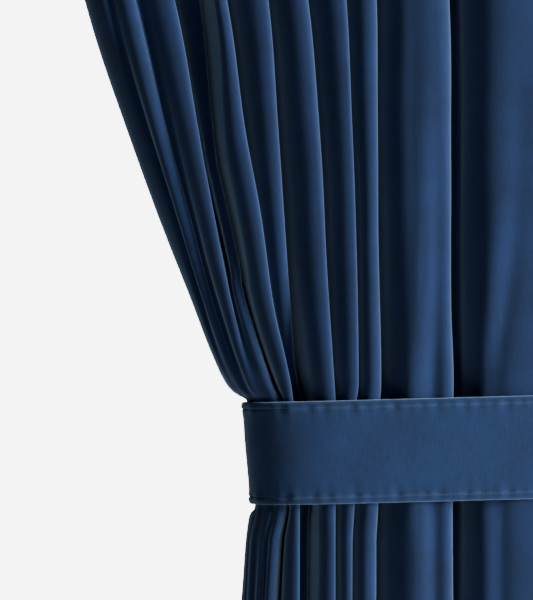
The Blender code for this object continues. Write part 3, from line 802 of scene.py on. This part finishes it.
class VelvetLook(bpy.types.PropertyGroup):
    """Colours and finish of the velvet."""

    ground: FloatVectorProperty(
        name="Ground colour", description="Colour of the pile seen straight on",
        subtype="COLOR", size=3, default=(0.0028, 0.0122, 0.0550), min=0, max=1,
    )
    sheen_tint: FloatVectorProperty(
        name="Sheen colour", description="Colour of the pile seen along the cloth",
        subtype="COLOR", size=3, default=(0.44, 0.65, 0.95), min=0, max=1,
    )
    sheen: FloatProperty(
        name="Sheen", description="How strongly the pile catches light", default=1.0,
        subtype="FACTOR", min=0, max=1,
    )
    sheen_roughness: FloatProperty(
        name="Sheen roughness", description="How widely the sheen spreads", default=0.46,
        subtype="FACTOR", min=0, max=1,
    )
    roughness: FloatProperty(
        name="Roughness", description="Roughness of the pile", default=0.85,
        subtype="FACTOR", min=0, max=1,
    )
    specular: FloatProperty(
        name="Specular", description="Gloss of the single fibres", default=0.15,
        subtype="FACTOR", min=0, max=1,
    )
    pile_relief: FloatProperty(
        name="Pile relief", description="Strength of the fine relief", default=0.35,
        subtype="FACTOR", min=0, max=1,
    )


class StudioSettings(bpy.types.PropertyGroup):
    """Floor, light and camera."""

    floor_gap: FloatProperty(
        name="Floor gap", description="Space between the hem and the floor",
        default=0.018, unit="LENGTH",
    )
    key_power: FloatProperty(
        name="Key light", description="Power of the light at the front right in watts",
        default=470.0, unit="POWER",
    )
    fill: FloatProperty(
        name="Fill", description="Strength of the light from all round", default=0.05,
    )
    distance: FloatProperty(
        name="Camera distance", description="Distance of the camera from the drape",
        default=4.0, unit="LENGTH",
    )


class MESH_OT_velvet_drape_panel(bpy.types.Operator):
    """Build the gathered drape as one hemmed sheet of velvet"""

    bl_idname = "mesh.velvet_drape_panel"
    bl_label = "Drape Panel"

    def execute(self, context):
        sizes = context.scene.drape_sizes
        down = row_depths()
        points = panel_surface(down)
        places = cloth_places(points, down)
        height = ripple_height(places[..., 0], down[:, None]) * looseness(down)
        points = points + surface_normals(points) * height[..., None]
        material = velvet_material("drape_velvet_pile", context.scene.velvet_look, DRAPE_TINT)
        faces = grid_faces(*points.shape[:2]).tolist()
        piece = new_piece("velvet_drape", points, faces, material, places)
        shell = piece.modifiers.new("thickness", "SOLIDIFY")
        shell.thickness = sizes.thickness
        shell.offset = 0.0
        normal = surface_normals(points)
        lines = []
        for depth in HEM_STITCH_DOWNS:
            row = int(np.argmin(np.abs(down - depth)))
            line = points[row] + normal[row] * sizes.thickness / 2
            lines.append(stitch_points(line, normal[row]))
        sew("hem_stitching", lines)
        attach(piece, "root")
        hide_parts("drape_panel")
        return {"FINISHED"}


def sew(name, lines):
    """Thread along several sewn lines, as one piece that rides with the cloth."""
    thread = np.concatenate(lines)
    sewn = new_piece(name, thread, stitch_faces(len(thread)), thread_material())
    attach(sewn, "root")


def thread_material():
    """Plain navy thread, a little lighter than the pile and slightly glossy."""
    name = "sewing_thread"
    if name in bpy.data.materials:
        return bpy.data.materials[name]
    material = bpy.data.materials.new(name)
    material.use_nodes = True
    tree = material.node_tree
    shader = tree.nodes["Principled BSDF"]
    shader.inputs["Roughness"].default_value = THREAD_ROUGHNESS
    twist = node(tree, "ShaderNodeTexNoise", Scale=THREAD_TWIST_SCALE, Detail=2.0)
    place = node(tree, "ShaderNodeTexCoord")
    tree.links.new(place.outputs["Object"], twist.inputs["Vector"])
    ramp = node(tree, "ShaderNodeValToRGB")
    ramp.color_ramp.elements[0].color = THREAD_DARK
    ramp.color_ramp.elements[1].color = THREAD_LIGHT
    tree.links.new(twist.outputs["Fac"], ramp.inputs["Fac"])
    tree.links.new(ramp.outputs["Color"], shader.inputs["Base Color"])
    return material


def band_unevenness(along, down, height):
    """Outward lift of the band's face: waves along it beside the sewn lines,
    and one slow wave that is widest halfway between them."""
    waves = sum(
        np.sin(2 * np.pi * along / length + PUCKER_PHASE * length) for length in PUCKER_LENGTHS
    )
    from_edge = np.minimum(down, height - down)
    near = np.exp(-(((from_edge - SEAM_FROM_EDGE) / PUCKER_REACH) ** 2))
    slow = 1 + np.sin(2 * np.pi * along / SLACK_LENGTH + down / SLACK_SHIFT)
    belly = np.sin(np.pi * np.clip(down / height, 0, 1)) ** 2
    puckers = len(PUCKER_LENGTHS) + waves
    return PUCKER_HEIGHT * puckers * near + SLACK_HEIGHT / 2 * slow * belly


def band_plan(left, right, front, away):
    """Plan of the band's middle line: a tail, a bend, the back run, round the
    left side, across the face, round the right side and into a tail."""
    length = outline_length(left, right)
    way = np.linspace(-LEFT_EASE, length, FRONT_RUN_POINTS)
    x, y = on_outline(way, -away, left, right, front)
    tail_end = y[0] + BAND_TAIL
    tail_x = right - BAND_TAIL_SPACE
    bend = np.linspace(0, QUARTER, BEND_POINTS)
    bend_x = tail_x - BAND_BEND * (1 - np.cos(bend))
    bend_y = y[0] + BAND_BEND * (1 - np.sin(bend))
    tail_y = np.linspace(tail_end, bend_y[0], BACK_TAIL_POINTS + 1)[:-1]
    back_x = np.linspace(bend_x[-1], x[0], BACK_RUN_POINTS + 2)[1:-1]
    back_y = np.full(BACK_RUN_POINTS, y[0])
    end_y = np.linspace(y[-1], tail_end, FRONT_TAIL_POINTS + 1)[1:]
    end_x = np.full(FRONT_TAIL_POINTS, x[-1])
    path_x = np.concatenate([np.full(BACK_TAIL_POINTS, tail_x), bend_x, back_x, x, end_x])
    path_y = np.concatenate([tail_y, bend_y, back_y, y, end_y])
    return np.stack([path_x, path_y], axis=1)


def band_profile(height, thickness):
    """Closed section of the band: how far down it each point lies, and how far
    out. The outer face has a rolled edge and a sewn groove along both edges."""
    radius = thickness / 2
    down = np.concatenate([
        np.linspace(radius, SEAM_STRETCH, SEAM_POINTS),
        np.linspace(SEAM_STRETCH, height - SEAM_STRETCH, FACE_POINTS + 2)[1:-1],
        np.linspace(height - SEAM_STRETCH, height - radius, SEAM_POINTS),
    ])
    from_edge = np.minimum(down, height - down)
    seam = np.exp(-(((from_edge - SEAM_FROM_EDGE) / SEAM_WIDTH) ** 2))
    roll = np.clip(from_edge / SEAM_FROM_EDGE, 0, 1)
    out = radius + ROLL_HEIGHT * np.sin(np.pi * roll) - SEAM_DEPTH * seam
    turn = np.linspace(0, np.pi, EDGE_POINTS + 2)[1:-1]
    low_down = height - radius + radius * np.sin(turn)
    low_out = radius * np.cos(turn)
    inner = np.linspace(height - radius, radius, INNER_POINTS)
    top_down = radius - radius * np.sin(turn)
    return (
        np.concatenate([down, low_down, inner, top_down]),
        np.concatenate([out, low_out, np.full(INNER_POINTS, -radius), -radius * np.cos(turn)]),
    )


class MESH_OT_velvet_tieback_band(bpy.types.Operator):
    """Build the tieback band with its rolled and sewn edges"""

    bl_idname = "mesh.velvet_tieback_band"
    bl_label = "Tieback Band"

    def execute(self, context):
        sizes = context.scene.band_sizes
        cloth = context.scene.drape_sizes.thickness
        tie = np.array([-BAND_MIDDLE])
        right = float(side_at(RIGHT_SIDE, tie)[0, 0])
        front = float(side_at(FRONT, tie)[0, 0])
        away = cloth / 2 + PIECE_GAP + sizes.thickness / 2
        down, out = band_profile(sizes.height, sizes.thickness)
        share = down / sizes.height
        left = BAND_LEFT_TOP + (BAND_LEFT_BOTTOM - BAND_LEFT_TOP) * share
        plans = np.stack([band_plan(edge, right, front, away) for edge in left], axis=1)
        slope = np.gradient(plans, axis=0)
        slope /= np.linalg.norm(slope, axis=2, keepdims=True)
        outward = np.stack([slope[..., 1], -slope[..., 0]], axis=2)
        steps = np.linalg.norm(np.diff(plans, axis=0), axis=2).mean(axis=1)
        along = np.concatenate([[0], np.cumsum(steps)])
        uneven = band_unevenness(along[:, None], down[None, :], sizes.height)
        lift = out[None, :] + uneven * (out[None, :] > 0)
        plan = plans + outward * lift[..., None]
        rise = BAND_RISE * (plans[..., 0] - left[None, :])
        z = BAND_MIDDLE + sizes.height / 2 - down[None, :] + rise
        points = np.dstack([plan, z])
        places = np.stack(np.broadcast_arrays(along[:, None], -down[None, :]), axis=2)
        rows, columns = points.shape[:2]
        faces = grid_faces(rows, columns, closed=True).tolist()
        faces.append(list(range(columns)))
        faces.append([(rows - 1) * columns + k for k in reversed(range(columns))])
        # The band's velvet is the drape's with its ground painted lighter and greyer: painted light
        material = velvet_material("band_velvet_pile", context.scene.velvet_look, BAND_PAINTED_LIGHT_TINT)
        piece = new_piece("velvet_band", points, faces, material, places)
        lines = []
        for depth in (SEAM_FROM_EDGE, sizes.height - SEAM_FROM_EDGE):
            column = int(np.argmin(np.where(out > 0, np.abs(down - depth), 1.0)))
            flat_out = np.dstack([outward, np.zeros_like(z)])[:, column]
            lines.append(stitch_points(points[:, column], flat_out))
        sew("band_stitching", lines)
        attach(piece, "root")
        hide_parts("tieback_band")
        return {"FINISHED"}


# Floor: half its side in metres, its colour and roughness
FLOOR_REACH = 9.0
FLOOR_COLOUR = (0.78, 0.78, 0.77, 1)
FLOOR_ROUGHNESS = 0.9

# Light from all round, and the pale backdrop that the camera sees
FILL_COLOUR = (0.9, 0.95, 1.0, 1)
BACKDROP_COLOUR = (1.0, 1.0, 1.0, 1)
BACKDROP_STRENGTH = 7.0

# Key light, in metres: its place at the right, what it points at, its width
# and height, and its colour
KEY_PLACE = (3.4, -1.5, -0.7)
KEY_TARGET = (0.1, 0, -1.2)
KEY_SIZE = (1.2, 2.4)
KEY_COLOUR = (1.0, 0.98, 0.95)

# Camera, in metres: its place across and its height, the width of the view at
# the front of the drape, how far in front of the origin that is, and the width
# of the film in millimetres
CAMERA_X = 0.015
CAMERA_Z = -1.3035
VIEW_WIDTH = 0.582
VIEW_FRONT = 0.03
FILM_WIDTH = 36.0


def area_light(name, place, target, size, power, colour):
    """A rectangular area light at a place, turned towards its target."""
    data = bpy.data.lights.new(name, "AREA")
    data.shape = "RECTANGLE"
    data.size, data.size_y = size
    data.energy = power
    data.color = colour
    lamp = bpy.data.objects.new(name, data)
    lamp.location = place
    aim = Vector(target) - Vector(place)
    lamp.rotation_euler = aim.to_track_quat("-Z", "Y").to_euler()
    bpy.context.scene.collection.objects.link(lamp)


def pale_floor(height):
    """A plain square floor below the hem."""
    mesh = bpy.data.meshes.new("floor")
    corners = [(-FLOOR_REACH, -FLOOR_REACH, height), (FLOOR_REACH, -FLOOR_REACH, height)]
    corners += [(FLOOR_REACH, FLOOR_REACH, height), (-FLOOR_REACH, FLOOR_REACH, height)]
    mesh.from_pydata(corners, [], [(0, 1, 2, 3)])
    floor = bpy.data.objects.new("floor", mesh)
    bpy.context.scene.collection.objects.link(floor)
    paint = bpy.data.materials.new("pale_floor")
    paint.use_nodes = True
    shader = paint.node_tree.nodes["Principled BSDF"]
    shader.inputs["Base Color"].default_value = FLOOR_COLOUR
    shader.inputs["Roughness"].default_value = FLOOR_ROUGHNESS
    mesh.materials.append(paint)


def pale_studio(fill):
    """A world with a weak even light, seen by the camera as a pale backdrop."""
    world = bpy.data.worlds.new("pale_studio")
    bpy.context.scene.world = world
    world.use_nodes = True
    tree = world.node_tree
    light = tree.nodes["Background"]
    light.inputs["Color"].default_value = FILL_COLOUR
    light.inputs["Strength"].default_value = fill
    seen = node(
        tree, "ShaderNodeBackground", Color=BACKDROP_COLOUR, Strength=BACKDROP_STRENGTH
    )
    path = node(tree, "ShaderNodeLightPath")
    mix = node(tree, "ShaderNodeMixShader")
    tree.links.new(path.outputs["Is Camera Ray"], mix.inputs[0])
    tree.links.new(light.outputs[0], mix.inputs[1])
    tree.links.new(seen.outputs[0], mix.inputs[2])
    tree.links.new(mix.outputs[0], tree.nodes["World Output"].inputs["Surface"])


def photo_camera(distance):
    """A level camera straight in front of the drape, at the photograph's frame."""
    data = bpy.data.cameras.new("camera")
    data.sensor_width = FILM_WIDTH
    data.lens = FILM_WIDTH * (distance - VIEW_FRONT) / VIEW_WIDTH
    camera = bpy.data.objects.new("camera", data)
    camera.location = (CAMERA_X, -distance, CAMERA_Z)
    camera.rotation_euler = (QUARTER, 0, 0)
    bpy.context.scene.collection.objects.link(camera)
    bpy.context.scene.camera = camera


class SCENE_OT_drape_studio(bpy.types.Operator):
    """Add the pale floor, the soft light and the camera"""

    bl_idname = "scene.drape_studio"
    bl_label = "Studio"

    def execute(self, context):
        studio = context.scene.studio_settings
        pale_floor(CAD_BOX[0][2] - studio.floor_gap)
        pale_studio(studio.fill)
        area_light(
            "key_light", KEY_PLACE, KEY_TARGET, KEY_SIZE, studio.key_power, KEY_COLOUR
        )
        photo_camera(studio.distance)
        return {"FINISHED"}


class VIEW3D_PT_velvet_drape(bpy.types.Panel):
    """Buttons and settings of the drape"""

    bl_idname = "VIEW3D_PT_velvet_drape"
    bl_label = "Velvet Drape"
    bl_space_type = "VIEW_3D"
    bl_region_type = "UI"
    bl_category = "Drape"

    def draw(self, context):
        layout = self.layout
        for operator in PIECE_OPERATORS:
            layout.operator(operator)
        for group in PROPERTY_GROUPS:
            box = layout.box()
            settings = getattr(context.scene, group)
            for name in settings.bl_rna.properties.keys():
                if name not in ("rna_type", "name"):
                    box.prop(settings, name)


PROPERTY_GROUPS = {
    "drape_sizes": DrapeSizes,
    "band_sizes": BandSizes,
    "velvet_look": VelvetLook,
    "studio_settings": StudioSettings,
}
OPERATORS = (
    MESH_OT_velvet_drape_panel,
    MESH_OT_velvet_tieback_band,
    SCENE_OT_drape_studio,
)
PIECE_OPERATORS = tuple(operator.bl_idname for operator in OPERATORS)


def register():
    for group in PROPERTY_GROUPS.values():
        bpy.utils.register_class(group)
    for operator in OPERATORS:
        bpy.utils.register_class(operator)
    bpy.utils.register_class(VIEW3D_PT_velvet_drape)
    for name, group in PROPERTY_GROUPS.items():
        setattr(bpy.types.Scene, name, PointerProperty(type=group))


def unregister():
    for name in PROPERTY_GROUPS:
        delattr(bpy.types.Scene, name)
    bpy.utils.unregister_class(VIEW3D_PT_velvet_drape)
    for operator in OPERATORS:
        bpy.utils.unregister_class(operator)
    for group in PROPERTY_GROUPS.values():
        bpy.utils.unregister_class(group)


def main():
    register()
    for name in PIECE_OPERATORS:
        group, operator = name.split(".")
        getattr(getattr(bpy.ops, group), operator)()


if __name__ == "__main__":
    main()
